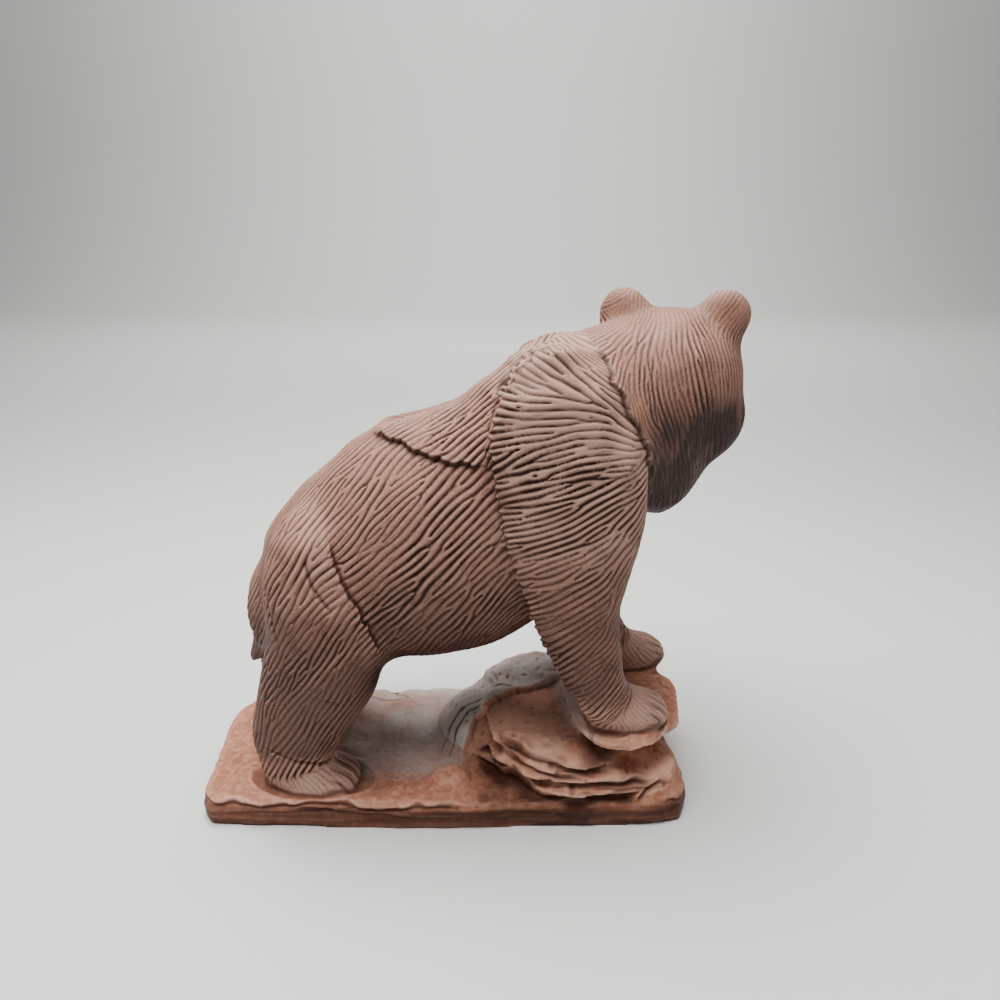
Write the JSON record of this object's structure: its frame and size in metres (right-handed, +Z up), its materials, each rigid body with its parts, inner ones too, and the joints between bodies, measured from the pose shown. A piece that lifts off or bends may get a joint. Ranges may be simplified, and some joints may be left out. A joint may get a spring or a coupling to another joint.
{
  "type": "bear figurine",
  "caption": "Standing bear with carved fur, forepaws on a boulder and head turned back over its shoulder, cast in one with its rock base",
  "frame": {"origin": "Middle of the rock base's flat underside, on the surface that it stands on", "axes": "X runs the length of the base towards the bear's chest, Y towards the bear's left, the side its head is turned to, and Z up"},
  "size_m": [0.2697, 0.126, 0.2481],
  "materials": {
    "cast_nutshell_resin": "Reddish brown crushed nut-shell resin, cast, semi-matt, with dark stain in the carved grooves, worn lighter ridges and grey dust on the rock"
  },
  "bodies": {
    "root": {"bear_on_rock": "cast_nutshell_resin"}
  },
  "joints": []
}
